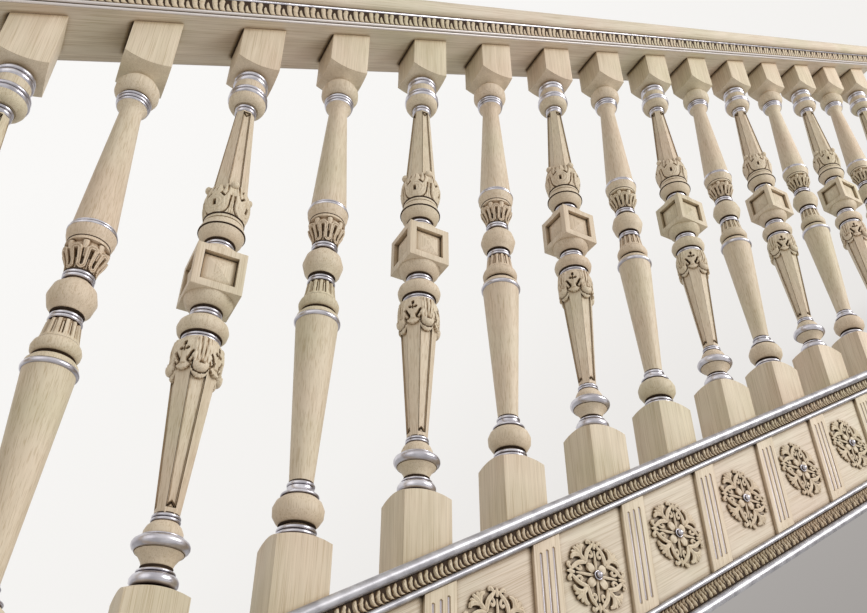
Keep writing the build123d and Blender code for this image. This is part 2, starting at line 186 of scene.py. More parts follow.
def silver(name, smooth, dull, deep, bright):
    """Burnished silver leaf, a little cloudy, with tarnish and painted shade in the hollows."""
    material, tree = finish(name)
    shader = tree.nodes[SHADER]
    place = add_node(tree, "ShaderNodeTexCoord").outputs["Object"]
    clouds = add_node(tree, "ShaderNodeTexNoise", Vector=place, Scale=60, Detail=4)
    colour = ramp(tree, clouds.outputs[0], ((0.35, deep), (0.65, bright)))
    # Painted shade: ambient occlusion darkens the leaf in hollows and between beads to near black, partly as tarnish
    hollow = add_node(tree, "ShaderNodeAmbientOcclusion", {"samples": 8}, Distance=0.005)
    shade = ramp(tree, hollow.outputs["AO"], ((0.28, TARNISH_AND_PAINTED_SHADE), (0.58, LILAC_GREY), (0.88, WHITE)))
    colour = mixed(tree, 1.0, colour, shade, "MULTIPLY")
    tree.links.new(colour, shader.inputs["Base Color"])
    shader.inputs["Metallic"].default_value = 1.0
    roughness = add_node(tree, "ShaderNodeMapRange", Value=clouds.outputs[0], _3=smooth, _4=dull)
    tree.links.new(roughness.outputs[0], shader.inputs["Roughness"])
    dents = add_node(tree, "ShaderNodeBump", Strength=0.12, Distance=0.0004, Height=clouds.outputs[0])
    tree.links.new(dents.outputs[0], shader.inputs["Normal"])
    return material


LIGHT_OAK = (0.705, 0.60, 0.455)
DEEP_OAK = (0.545, 0.45, 0.32)
GREEN_TINGE = (0.92, 0.95, 0.90)
PINK_TINGE = (0.99, 0.94, 0.94)
PORE_BROWN = (0.77, 0.71, 0.63)
# The brown hollow tones of the oak are patina mixed with painted shade
PALE_BROWN = (0.66, 0.58, 0.48)
BROWN = (0.46, 0.35, 0.24)
# Near-black painted shade for the deepest hollows and creases of the oak
PAINTED_SHADE_BLACK = (0.07, 0.05, 0.035)
# Near-black for the hollows of the silver: tarnish with painted shade
TARNISH_AND_PAINTED_SHADE = (0.06, 0.045, 0.045)
LILAC_GREY = (0.42, 0.39, 0.42)
ALONG_RAKE = RAKE - pi / 2
UPRIGHT_OAK = oak("upright_limed_oak", 0, LIGHT_OAK, DEEP_OAK, PALE_BROWN, 0.010, (0.14, 0.50, 0.88))
RAKED_OAK = oak(
    "raked_limed_oak", ALONG_RAKE, (0.685, 0.595, 0.47), (0.54, 0.455, 0.345), PALE_BROWN, 0.008, (0.36, 0.66, 0.92)
)
CARVED_OAK = oak(
    "carved_limed_oak", 0, (0.73, 0.625, 0.475), (0.565, 0.465, 0.33), BROWN, 0.006, (0.18, 0.50, 0.84)
)
CARVED_RAKED_OAK = oak(
    "carved_strip_oak", ALONG_RAKE, (0.66, 0.56, 0.41), (0.52, 0.42, 0.29), BROWN, 0.005, (0.34, 0.62, 0.90)
)
SILVER = silver("silver_leaf", 0.24, 0.36, (0.44, 0.42, 0.455), (0.68, 0.66, 0.70))
SOFT_SILVER = silver("string_silver_leaf", 0.40, 0.50, (0.36, 0.35, 0.37), (0.54, 0.53, 0.55))
FLUTE_LEAF = plain_finish("lilac_grey_leaf", (0.40, 0.37, 0.40), Metallic=0.5, Roughness=0.42)
PALE_LEAF = plain_finish("pale_leaf", (0.62, 0.57, 0.54), Metallic=0.3, Roughness=0.4)
# A near-black finish for painted shade, in the creases of the turnings and behind the carved leaves of the strips
PAINTED_SHADE_DARK = plain_finish("dark_painted_shade", (0.050, 0.032, 0.021), Roughness=0.85, Specular_IOR_Level=0.1)

# Modelling


def clear_selection():
    if bpy.context.object and bpy.context.object.mode == "EDIT":
        bpy.ops.object.mode_set(mode="OBJECT")
    bpy.ops.object.select_all(action="DESELECT")


def pick(piece):
    clear_selection()
    piece.select_set(True)
    bpy.context.view_layer.objects.active = piece


def edit(piece):
    pick(piece)
    bpy.ops.object.mode_set(mode="EDIT")
    bpy.ops.mesh.select_all(action="SELECT")


def duplicate(piece):
    """A copy with its own mesh."""
    pick(piece)
    bpy.ops.object.duplicate(linked=False)
    return bpy.context.object


def discard(*pieces):
    for piece in pieces:
        bpy.data.objects.remove(piece, do_unlink=True)


def face_outwards():
    bpy.ops.mesh.select_all(action="SELECT")
    bpy.ops.mesh.normals_make_consistent(inside=False)


def select_open_edges():
    bpy.ops.mesh.select_all(action="DESELECT")
    bpy.ops.mesh.select_mode(type="EDGE")
    bpy.ops.mesh.select_non_manifold()


def select_where(piece, kind, test):
    """Selects the vertices, edges or faces that pass the test, and leaves the piece in edit mode."""
    pick(piece)
    bpy.ops.object.mode_set(mode="EDIT")
    bpy.ops.mesh.select_mode(type=kind)
    bpy.ops.mesh.select_all(action="DESELECT")
    bpy.ops.object.mode_set(mode="OBJECT")
    mesh = piece.data
    if kind == "VERT":
        for vertex in mesh.vertices:
            vertex.select = test(vertex.co)
    elif kind == "EDGE":
        for edge in mesh.edges:
            ends = [mesh.vertices[i].co for i in edge.vertices]
            edge.select = test(*ends)
    else:
        for face in mesh.polygons:
            face.select = test(face.center, face.normal)
    bpy.ops.object.mode_set(mode="EDIT")


def move(x, y, z):
    bpy.ops.transform.translate(value=(x * MM, y * MM, z * MM))


def smooth(piece, limit=38):
    pick(piece)
    bpy.ops.object.shade_smooth_by_angle(angle=radians(limit))


def boolean(piece, other, operation):
    pick(piece)
    cut = piece.modifiers.new("cut", "BOOLEAN")
    cut.operation = operation
    cut.solver = "EXACT"
    cut.object = other
    bpy.ops.object.modifier_apply(modifier=cut.name)
    discard(other)


def join(pieces, name):
    clear_selection()
    for piece in pieces:
        piece.select_set(True)
    bpy.context.view_layer.objects.active = pieces[0]
    bpy.ops.object.join()
    joined = bpy.context.object
    joined.name = name
    joined.data.name = name
    return joined


def copy_to(piece, name, x, y, z):
    """A copy moved to a place in metres, with the place in its mesh."""
    copy = duplicate(piece)
    copy.name = name
    copy.data.name = name
    bpy.ops.transform.translate(value=(x, y, z))
    bpy.ops.object.transform_apply(location=True, rotation=True, scale=True)
    return copy


def dress(piece, material, slot, *nodes):
    """Gives a finished piece its finish, the nodes that it stands for and the body that carries it."""
    piece.data.materials.clear()
    piece.data.materials.append(material)
    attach(piece, "root")
    if nodes:
        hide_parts(*nodes)


# Turning

TURNED_SIDES = 48
ARC_STEP = 30  # degrees of an arc that one line stands for
SOLID = "oak"
LEAF = "silver"


def through(start, middle, end):
    """Centre of the circle through three points."""
    (ax, ay), (bx, by), (cx, cy) = start, middle, end
    d = 2 * (ax * (by - cy) + bx * (cy - ay) + cx * (ay - by))
    a, b, c = ax * ax + ay * ay, bx * bx + by * by, cx * cx + cy * cy
    return (a * (by - cy) + b * (cy - ay) + c * (ay - by)) / d, (a * (cx - bx) + b * (ax - cx) + c * (bx - ax)) / d


def arc_points(start, middle, end):
    """Points along the arc from start through middle to end, without the first."""
    cx, cy = through(start, middle, end)
    radius = sqrt((start[0] - cx) ** 2 + (start[1] - cy) ** 2)
    first, halfway, last = (atan2(p[1] - cy, p[0] - cx) for p in (start, middle, end))
    sweep = (last - first) % tau
    if (halfway - first) % tau > sweep:
        sweep -= tau
    steps = max(3, ceil(abs(degrees(sweep)) / ARC_STEP))
    return [
        (cx + radius * cos(first + sweep * k / steps), cy + radius * sin(first + sweep * k / steps))
        for k in range(1, steps + 1)
    ]


def traced(start, moves):
    """All points of an outline whose moves are lines (two numbers) or arcs (four numbers)."""
    points = [start]
    for step in moves:
        if len(step) == 2:
            points.append(step)
        else:
            points.extend(arc_points(points[-1], step[:2], step[2:]))
    return points


def draw_up(extrude, outline):
    """Draws the selected ring up through the rest of an outline of radius and height."""
    radius, height = outline[0]
    for r, z in outline[1:]:
        extrude(TRANSFORM_OT_translate={"value": (0, 0, (z - height) * MM)})
        bpy.ops.transform.resize(value=(r / radius, r / radius, 1))
        radius, height = r, z


def turned_solid(name, outline):
    """Turns an outline into a solid."""
    clear_selection()
    radius, height = outline[0]
    bpy.ops.mesh.primitive_circle_add(vertices=TURNED_SIDES, radius=radius * MM, fill_type="NGON")
    piece = bpy.context.object
    piece.name = name
    edit(piece)
    move(0, 0, height)
    draw_up(bpy.ops.mesh.extrude_region_move, outline)
    face_outwards()
    clear_selection()
    return piece


def turned_ring(name, outline, core):
    """Turns an outline into a closed ring around a core."""
    clear_selection()
    points = [(core, outline[0][1])] + outline + [(core, outline[-1][1])]
    radius, height = points[0]
    bpy.ops.mesh.primitive_circle_add(vertices=TURNED_SIDES, radius=radius * MM, fill_type="NOTHING")
    piece = bpy.context.object
    piece.name = name
    edit(piece)
    move(0, 0, height)
    draw_up(bpy.ops.mesh.extrude_edges_move, points)
    select_open_edges()
    bpy.ops.mesh.bridge_edge_loops()
    face_outwards()
    clear_selection()
    return piece


STOCK_REACH = STOCK / 2 * sqrt(2) + 1
UPPER_CORNER = 740.4
SHOULDER_RADIUS = 20.5
SHOULDER_RISE = 9.4
SHOULDER_BULGE = 6.2
SHOULDER = [
    (STOCK_REACH, CAP_TOP - STOCK),
    (STOCK_REACH, -0.5),
    (STOCK / 2, SHOULDER_BULGE, SHOULDER_RADIUS, SHOULDER_RISE),
]
UPPER_SHOULDER = [
    (SHOULDER_RADIUS, UPPER_CORNER - SHOULDER_RISE),
    (STOCK / 2, UPPER_CORNER - SHOULDER_BULGE, STOCK_REACH, UPPER_CORNER + 0.5),
    (STOCK_REACH, RAIL_UNDERSIDE + STOCK),
]

# Turned sections from the lower block to the upper, as radius and height
BALL_SECTIONS = [
    (SOLID, SHOULDER),
    (LEAF, [(20, 9.4), (22, 12, 20.3, 14.3), (21.4, 17, 19.2, 19.6)]),
    (SOLID, [(16, 19.6), (16, 22), (27.9, 38.5, 18.5, 54)]),
    (
        LEAF,
        [(19.4, 54), (20.9, 55.8, 19.4, 57.6), (17.2, 58.2), (15.2, 60.6, 14.8, 65)]
        + [(13.6, 65.8), (15.4, 67.8, 14, 70)],
    ),
    (SOLID, [(13.1, 70), (25.9, 278)]),
    (LEAF, [(25.9, 278), (28.4, 281.2, 26.6, 284.4)]),
    (SOLID, [(26.9, 284.4), (25.2, 290, 18.8, 294), (18.2, 295.6), (25.2, 305, 20.6, 314), (17, 315), (13.4, 339)]),
    (LEAF, [(16.4, 339), (17.8, 341.1, 16.2, 343.2), (17, 345.4, 14.6, 347.6)]),
    (SOLID, [(13.4, 347.6), (13.6, 349), (25.9, 370.5, 13.8, 391.5), (13.4, 392.6)]),
    (LEAF, [(15, 392.6), (17, 394.8, 15.8, 396.9), (17.2, 399, 16, 401)]),
    (SOLID, [(14, 401), (13.6, 413), (18, 431), (18, 441.4), (22.6, 441.6), (22.6, 443), (26.2, 451.5, 27, 458)]),
    (LEAF, [(26.6, 458), (27.6, 460, 26, 462), (26.3, 463.8, 24.6, 465.6)]),
    (SOLID, [(24.4, 465.6), (13.6, 656), (15, 665, 18.6, 671)]),
    (LEAF, [(18.6, 671), (20, 673, 18.9, 675), (21.2, 677.2, 20, 679.4), (21.8, 681.6, 19, 684)]),
    (SOLID, [(16, 684), (27.9, 702, 15, 720), (13.5, 721), (13.5, 725)] + UPPER_SHOULDER),
]
PANELLED_SECTIONS = [
    (SOLID, SHOULDER),
    (LEAF, [(18, 10.5), (23, 17, 18.6, 23.4), (17.4, 23.8), (18.6, 25.2, 16, 26.6)]),
    (SOLID, [(14, 26.6), (14, 30), (17.5, 38.5, 24, 45.4)]),
    (LEAF, [(23.4, 45.4), (24.8, 46.6), (27.9, 52, 22.6, 57), (21.2, 57.3), (21.8, 58.6, 20.2, 59.6)]),
    (SOLID, [(19.4, 59.6), (17.6, 68.5, 13, 74)]),
    (LEAF, [(13, 74), (14.5, 75.8, 13.1, 77.6), (14.2, 79.5, 12.6, 81.4)]),
    (SOLID, [(9, 81.4), (9, 244), (16, 246), (16, 279)]),
    (LEAF, [(19.6, 279), (22, 281, 20.2, 283), (21.8, 285.1, 19.4, 287.2)]),
    (SOLID, [(19, 287.2), (29, 299, 18.4, 311), (17.4, 311.6), (17.4, 313.5)]),
    (LEAF, [(16.8, 313.5), (19, 316, 16.8, 318.4), (18, 321, 15.4, 323.6)]),
    (SOLID, [(15, 323.6), (15.2, 325), (25.2, 331.5, 28.5, 340), (20, 340.2)]),
    (SOLID, [(20, 399.8), (28.5, 400), (25.2, 408.5, 15.4, 413)]),
    (LEAF, [(15.6, 413), (18, 415.4, 16.2, 417.8), (17.8, 420.2, 16.2, 422.6)]),
    (SOLID, [(16.2, 422.6), (24.5, 430, 27.6, 438.5), (26.2, 439.3), (28.8, 440.3), (28.7, 441.6), (25.2, 451)]),
    (SOLID, [(23.2, 451.5), (23.2, 452.7), (24.4, 453.2), (24.4, 456.6), (16, 457.6), (16, 500), (9, 502), (9, 656)]),
    (LEAF, [(12.4, 656), (14.5, 659, 13.2, 662), (14.6, 664.8, 13.4, 667.6)]),
    (SOLID, [(14, 667.6), (23.5, 673, 25.2, 681.4)]),
    (LEAF, [(25, 681.4), (27.2, 684.9, 25.4, 688.2), (26.5, 691.6, 23.6, 695.4)]),
    (SOLID, [(21.8, 695.4), (21, 703, 21.6, 711)]),
    (LEAF, [(21.4, 711), (23.8, 715.2, 21.8, 719.3), (23.4, 723.2, 20.4, 727.2)]),
    (SOLID, [(16, 727.2), (16, 729.2)] + UPPER_SHOULDER),
]

BEAD_NOTCH = 1.5
NOTCH_RISE = 0.25
POLE = 0.1  # radius at which a turning starts and ends on its axis
RING_DEPTH = 2.0  # how far a ring goes down into the oak
RING_LAP = 0.5
# How deep the painted shade bands go down into the oak
SHADE_BAND_DEPTH = 2.5
ARRIS = 0.7


def notched(moves):
    """The outline of a silver ring, cut in deeper between its beads."""
    cut = []
    for step in moves:
        if cut and len(step) == 4 and len(cut[-1]) == 4:
            cut.append((cut[-1][2] - BEAD_NOTCH, cut[-1][3] + NOTCH_RISE))
        cut.append(step)
    return cut


# Painted shade: near-black bands set into the creases where shadow falls, each as the lower and the upper edge of a
# band
BALL_SHADE_BANDS = [
    [(17.4, 22.0), (20.0, 23.0)],
    [(13.4, 70.6), (13.5, 71.8)],
    [(19.4, 295.2), (21.5, 296.4)],
    [(14.9, 349.2), (17.6, 350.5)],
    [(16.3, 401.0), (16.7, 402.2)],
    [(23.0, 442.9), (23.3, 443.6)],
    [(17.4, 684.2), (20.2, 685.6)],
]
# Painted shade bands of the panelled balusters
PANELLED_SHADE_BANDS = [
    [(14.4, 28.6), (15.6, 30.6)],
    [(23.6, 44.6), (23.9, 45.6)],
    [(12.3, 81.4), (12.4, 82.6)],
    [(20.2, 287.2), (23.1, 288.4)],
    [(16.2, 323.8), (18.4, 325.2)],
    [(16.9, 422.8), (19.2, 424.0)],
    [(26.8, 438.9), (28.95, 440.2)],
    [(23.4, 456.8), (25.2, 458.7)],
    [(15.4, 667.9), (17.4, 669.0)],
    [(16.6, 727.4), (16.8, 729.0)],
]


def turn(name, sections, shade_bands):
    """The oak solid, the silver rings and the painted shade bands of a baluster on its own axis, block to block."""
    body = [(POLE, CAP_TOP - STOCK)]
    rings = []
    for kind, moves in sections:
        if kind == LEAF:
            moves = notched(moves)
        points = traced(moves[0], moves[1:])
        if kind == SOLID:
            body += points
        else:
            core = min(r for r, z in points) - RING_DEPTH
            body += [(core, points[0][1]), (core, points[-1][1])]
            rings.append(turned_ring("ring", points, core - RING_LAP))
    body.append((POLE, RAIL_UNDERSIDE + STOCK))
    solid = turned_solid(f"{name}_oak", body)
    boolean(solid, square_stock(), "INTERSECT")
    # Painted shade: near-black bands turned into the creases
    bands = [turned_ring("shade_bands", band, band[0][0] - SHADE_BAND_DEPTH) for band in shade_bands]
    return solid, join(rings, f"{name}_silver"), join(bands, f"{name}_wax")


def square_stock():
    """The square blank with both ends cut to the rake and its long arrises eased."""
    clear_selection()
    bpy.ops.mesh.primitive_cube_add(size=1)
    blank = bpy.context.object
    edit(blank)
    bpy.ops.transform.resize(value=(STOCK * MM, STOCK * MM, (RAIL_UNDERSIDE - CAP_TOP) * MM))
    move(0, 0, (RAIL_UNDERSIDE + CAP_TOP) / 2)
    for side in (-1, 1):
        select_where(blank, "VERT", lambda co: co.x * side > 0)
        move(0, 0, side * STOCK / 2 * SLOPE)
    select_where(blank, "EDGE", lambda a, b: abs(a.x - b.x) + abs(a.y - b.y) < MM)
    bpy.ops.mesh.bevel(offset=ARRIS * MM, segments=2, affect="EDGES")
    clear_selection()
    return blank


# Eight-sided shafts, as half width and height, from the end with the points to the end under the carving
LOWER_SHAFT = ((11.6, 81.0), (12.0, 87.2), (22.2, 246.0))
UPPER_SHAFT = ((11.9, 657.5), (12.1, 654.0), (21.2, 500.0))
SUNK_MARGIN = 0.5
SUNK_DEPTH = 2.9
SUNK_TAPER = 0.15
SUNK_CROWN = 1.2
CROWN_SLOPE = 1.3
POINT_REACH = 6.0


def sunk_shaft(name, levels):
    """An eight-sided taper whose four main faces are sunk, with a raised point at one end of each."""
    clear_selection()
    half, height = levels[0]
    growing = 1 if levels[-1][1] > height else -1
    bpy.ops.mesh.primitive_circle_add(vertices=8, radius=half / cos(pi / 8) * MM, fill_type="NGON")
    piece = bpy.context.object
    piece.name = name
    edit(piece)
    bpy.ops.transform.rotate(value=pi / 8, orient_axis="Z", center_override=(0, 0, 0))
    move(0, 0, height)
    draw_up(bpy.ops.mesh.extrude_region_move, levels)
    face_outwards()
    start, end = levels[1][1], levels[2][1]

    def on_main_face(centre, normal):
        return max(abs(normal.x), abs(normal.y)) > 0.97 and min(start, end) < centre.z / MM < max(start, end)

    select_where(piece, "FACE", on_main_face)
    bpy.ops.mesh.inset(thickness=SUNK_MARGIN * MM, depth=0, use_individual=True)
    edge_height = (start + growing * SUNK_MARGIN) * MM
    select_where(piece, "EDGE", lambda a, b: abs(a.z - edge_height) < NEAR and abs(b.z - edge_height) < NEAR)
    bpy.ops.mesh.subdivide(number_cuts=1)
    select_where(piece, "VERT", lambda co: abs(co.z - edge_height) < NEAR and min(abs(co.x), abs(co.y)) < NEAR)
    move(0, 0, growing * POINT_REACH)
    select_where(piece, "FACE", on_main_face)
    bpy.ops.mesh.inset(thickness=SUNK_TAPER * MM, depth=-SUNK_DEPTH * MM, use_individual=True)
    bpy.ops.mesh.inset(thickness=CROWN_SLOPE * MM, depth=SUNK_CROWN * MM, use_individual=True)
    clear_selection()
    return piece


BLOCK_MIDDLE = 370
PANEL_FRAME = 9.5
PANEL_DEPTH = 7.6
PANEL_TAPER = 0.1
PYRAMID_MARGIN = 1.3
PYRAMID_FOOT = 1.6
PYRAMID_HEIGHT = 5.4


def middle_block():
    """The cube between the bowls, with a raised pyramid sunk into each side."""
    clear_selection()
    bpy.ops.mesh.primitive_cube_add(size=STOCK * MM)
    block = bpy.context.object
    edit(block)
    move(0, 0, BLOCK_MIDDLE)
    bpy.ops.mesh.bevel(offset=ARRIS * MM, segments=2, affect="EDGES")
    select_where(block, "FACE", lambda centre, normal: max(abs(normal.x), abs(normal.y)) > 0.999)
    bpy.ops.mesh.inset(thickness=(PANEL_FRAME - ARRIS) * MM, depth=0, use_individual=True)
    bpy.ops.mesh.inset(thickness=PANEL_TAPER * MM, depth=-PANEL_DEPTH * MM, use_individual=True)
    bpy.ops.mesh.inset(thickness=PYRAMID_MARGIN * MM, depth=0, use_individual=True)
    bpy.ops.mesh.inset(thickness=PANEL_TAPER * MM, depth=PYRAMID_FOOT * MM, use_individual=True)
    bpy.ops.mesh.poke(offset=PYRAMID_HEIGHT * MM)
    bpy.ops.mesh.mark_sharp()
    clear_selection()
    return block


# Carving


def profile(points, z):
    """Radius of a plain outline at a height, between its points."""
    for (z0, r0), (z1, r1) in zip(points, points[1:]):
        if z <= z1:
            t = (z - z0) / (z1 - z0)
            return r0 + (r1 - r0) * t
    return points[-1][1]


def lobe(s, z, centre, reach, base, height):
    """Radius over a rounded lobe, or nothing outside it."""
    d = ((s - centre[0]) / reach[0]) ** 2 + ((z - centre[1]) / reach[1]) ** 2
    return base + height * sqrt(1 - d) if d < 1 else 0


def slit(s, z, start, end, width, depth):
    """How deep a carver's slit between two points cuts."""
    along = Vector((end[0] - start[0], end[1] - start[1]))
    from_start = Vector((s - start[0], z - start[1]))
    t = min(1, max(0, from_start.dot(along) / along.length_squared))
    d = (from_start - along * t).length / width
    return depth * (1 - d * d) if d < 1 else 0


def carved_ring(name, low, high, rows, columns, surface):
    """A ring whose outside follows surface, which gives the radius at an angle and a height."""
    clear_selection()
    bpy.ops.mesh.primitive_circle_add(vertices=columns, radius=20 * MM, fill_type="NOTHING")
    piece = bpy.context.object
    edit(piece)
    move(0, 0, low)
    for _ in range(rows):
        bpy.ops.mesh.extrude_edges_move(TRANSFORM_OT_translate={"value": (0, 0, (high - low) / rows * MM)})
    face_outwards()
    clear_selection()
    for vertex in piece.data.vertices:
        angle = atan2(vertex.co.x, -vertex.co.y)
        radius = surface(angle, vertex.co.z / MM) * MM
        vertex.co.x, vertex.co.y = radius * sin(angle), -radius * cos(angle)
    piece.data.update()
    edit(piece)
    select_open_edges()
    bpy.ops.mesh.edge_face_add()
    face_outwards()
    clear_selection()
    piece.name = name
    return piece


def across(angle, count, turn_by=0.0):
    """Angle from the middle of the nearest of count sectors."""
    sector = tau / count
    return (angle - turn_by + sector / 2) % sector - sector / 2


def cuts(s, z, strokes):
    """Depth of the deepest of several strokes; each is a run of points with its half width and its depth."""
    deepest = 0
    for path, width, depth in strokes:
        for start, end in zip(path, path[1:]):
            low, high = min(start[1], end[1]) - width, max(start[1], end[1]) + width
            if low < z < high:
                deepest = max(deepest, slit(s, z, start, end, width, depth))
    return deepest


CAPITAL_RADIUS = 26
CAPITAL_BODY = [(221, 20.0), (240, 25.0), (250, 26.4), (262, 27.2), (270, 26.4), (276, 24.4), (281, 21.4)]
LEAF_CUTS = [
    ([(10.2, 257.0), (12.2, 253.4), (14.6, 248.6)], 1.5, 7.0),
    ([(2.9, 280), (2.3, 262), (0.9, 241)], 0.95, 1.9),
    ([(7.2, 276), (6.2, 260), (4.6, 245)], 0.95, 1.2),
    ([(9.9, 250), (8.6, 245)], 1.1, 2.0),
]
PETAL_CUTS = [
    ([(0, 266.8), (0, 269.4)], 1.9, 7.0),
    ([(2.8, 260.6), (4.4, 261.6)], 1.7, 6.0),
    ([(0.01, 263.5), (0, 258.8)], 1.0, 3.0),
    ([(11.2, 241.8), (7.5, 244.4), (4.6, 247.0), (4.1, 249.6)], 1.1, 3.4),
]


def leaf_capital(angle, z):
    """Hanging leaves with curled tips on the four flats, and a petal under three drilled holes between."""
    s = abs(across(angle, 4) * CAPITAL_RADIUS)
    t = abs(across(angle, 4, pi / 4) * CAPITAL_RADIUS)
    low_edge = 244.6 - 9.0 * sqrt(max(0, 1 - (t / 9.8) ** 2))
    top_edge = 243.6 + (9.8 - t) * 0.75
    radius = 6.0
    if z > 248 or (t < 9.8 and z > low_edge):
        radius = profile(CAPITAL_BODY, z)
        if z < top_edge and t < 9.8:
            radius = 24.2 + 2.6 * max(0, (top_edge - z) / (top_edge - low_edge)) ** 1.3
            radius -= 1.6 * max(0, 1 - (z - low_edge) / 1.2) ** 2
    if t > 8.6 and 238 < z <= 249:
        radius = max(radius, 24.0)
    if 244 < z < 258 and t < 3.6:
        radius = max(radius, 25.4 + 1.4 * sqrt(1 - (t / 3.6) ** 2))
    leaf_end = 240.5 if s < 2.6 else 243.4 - 1.1 * cos((s - 6.2) / 3.6 * tau / 2) + (s > 6.8) * 2.0
    if s < 10.4 and z > leaf_end:
        proud = (1.5 + 0.7 * abs(cos(s / 9.6 * pi * 1.5))) * (1 - (s / 10.4) ** 4 * min(1, max(0, (z - 250) / 10)))
        radius = profile(CAPITAL_BODY, z)
        if z < 276:
            radius = max(radius, 25.8)
        radius += proud * min(1, (282 - z) / 8)
    radius -= cuts(s, z, LEAF_CUTS) + cuts(t, z, PETAL_CUTS)
    back = sqrt((s / 12.4) ** 2 + ((z - 240) / 13.0) ** 2)
    if back < 1 and z < 244:
        radius = max(radius, 20.8 + 5.2 * sqrt(1 - back ** 2.6))
    tip = sqrt((s / 9.0) ** 2 + ((z - 242.5) / 9.2) ** 2)
    if tip < 1 and z < leaf_end + 0.8:
        radius = max(radius, 25.6 + 5.2 * sqrt(1 - tip ** 2.4))
    elif tip < 1.15 and z < leaf_end:
        radius -= 2.6
    return max(radius, 6)


COLLAR_RADIUS = 28
COLLAR_BODY = [(457, 24.6), (463, 25.6), (469, 26.6), (477, 28.0), (485, 28.6), (493, 27.6), (500, 25.8)]
COLLAR_BODY += [(506, 24.8), (514, 23.4)]
SCROLL_MIDDLE = 473.5
SCROLL_RIM = 18.4
SCROLL_CUTS = [
    ([(0, 470.8), (0, 476.4)], 1.7, 7.0),
    ([(7.2, 487.6), (9.0, 484.8), (11.2, 483.2)], 1.3, 5.0),
    ([(7.2, 488), (9.4, 496), (8.6, 506)], 0.95, 1.5),
    ([(12.4, 484), (14.8, 492), (14.6, 504)], 0.95, 1.7),
    ([(0.01, 492), (0, 505)], 0.9, 1.2),
]
FAN_CUTS = [
    ([(0.01, 458), (0, 496)], 0.8, 0.7),
    ([(3.4, 458), (1.6, 496)], 0.8, 0.7),
]


def scroll_collar(angle, z):
    """Round scrolls on the four arrises, fans on the flats between, and curled leaf tips above."""
    s = abs(across(angle, 4) * COLLAR_RADIUS)
    t = abs(across(angle, 4, pi / 4) * COLLAR_RADIUS)
    body = profile(COLLAR_BODY, z)
    away = sqrt(t ** 2 + (z - SCROLL_MIDDLE) ** 2)
    rim = away if z < SCROLL_MIDDLE else t - (z - SCROLL_MIDDLE) * 0.05
    radius = body - 0.8
    if z > 494:
        radius = 6.0
    if rim < SCROLL_RIM:
        radius = body + 0.4 if z < 494 else 6.0
        rings = sum(0.95 * max(0, 1 - abs(away - ring) / 1.15) for ring in (5.4, 9.4, 13.6))
        if away < 15:
            radius = body + 1.4 * sqrt(max(0, 1 - (away / 16) ** 4)) - rings
        if z > 486:
            for middle, top, reach in ((0, 494, 8.0), (11.9, 496, 3.6), (17.0, 495, 2.6)):
                radius = max(radius, lobe(t, z, (middle, top), (reach, 12.6), body - 2.0, 2.8))
    if z < 500:
        radius -= 3.4 * max(0, 1 - abs(rim - SCROLL_RIM) / 1.35)
    if s < 4.6 and 486 < z < 507:
        radius = max(radius, body - 0.3)
    radius -= cuts(t, z, SCROLL_CUTS) + (cuts(s, z, FAN_CUTS) if rim > SCROLL_RIM else 0)
    radius = max(radius, lobe(s, z, (0, 504.8), (5.9, 4.9), 26.0, 4.3))
    return max(radius, 6)


BELL_LOOPS = 8
BELL_RADIUS = 22
BELL_BODY = [(401, 16.2), (406, 16.4), (413, 17.6), (418, 19.8), (425.5, 23.2), (433.5, 24.9), (437.5, 24.5)]
BELL_BODY += [(443, 22.8)]
RIBBON_HALF = 2.6


def serpentine_bell(angle, z):
    """A veined ribbon that winds up and down around the bell, with a dark slot in each loop, under a plain lip."""
    body = profile(BELL_BODY, z)
    if z > 437.6:
        return body - 0.3
    half = pi / BELL_LOOPS * BELL_RADIUS
    s = abs(across(angle, BELL_LOOPS, radians(-10)) * BELL_RADIUS)
    low, high = 409.5, 424.0
    reach = half / 2
    if z < low:
        d = abs(sqrt(s ** 2 + (z - low) ** 2) - reach)
    elif z > high:
        d = abs(sqrt((half - s) ** 2 + (z - high) ** 2) - reach)
    else:
        d = abs(s - reach)
    radius = body - 4.6
    if high + 1 < z < 436 and s < 3.2:
        radius = body - 0.4 - 0.14 * s * s
    if s < 1.3 and low + 8 < z <= high + 1:
        radius = body - 1.6
    if half - s < 1.3 and low - 6 < z < high - 8:
        radius = body - 1.6
    if d < RIBBON_HALF and z < 436:
        radius = body + sqrt(1 - (d / RIBBON_HALF) ** 2) - 0.2 - 1.5 * max(0, 1 - d / 0.9)
    return radius


TONGUES = 14
TONGUE_RADIUS = 18
TONGUE_BODY = [(314, 20.8), (318, 19.6), (323, 18.7), (330, 17.9), (339.5, 16.8)]


def tongue_bell(angle, z):
    """Upright tongues with rounded tops around the flared bell."""
    body = profile(TONGUE_BODY, z)
    half = pi / TONGUES * TONGUE_RADIUS
    s = abs(across(angle, TONGUES, radians(8)) * TONGUE_RADIUS)
    if z < 316:
        return body
    if z > 337.8 - (s / half) ** 2 * 3.6:
        return body - 2.4
    grow = min(1, (z - 316) / 4)
    if half - s < 0.7:
        return body - 0.9 * grow
    return body + 0.4 - 3.0 * grow * max(0, 1 - abs(half - s - 1.4) / 1.0)


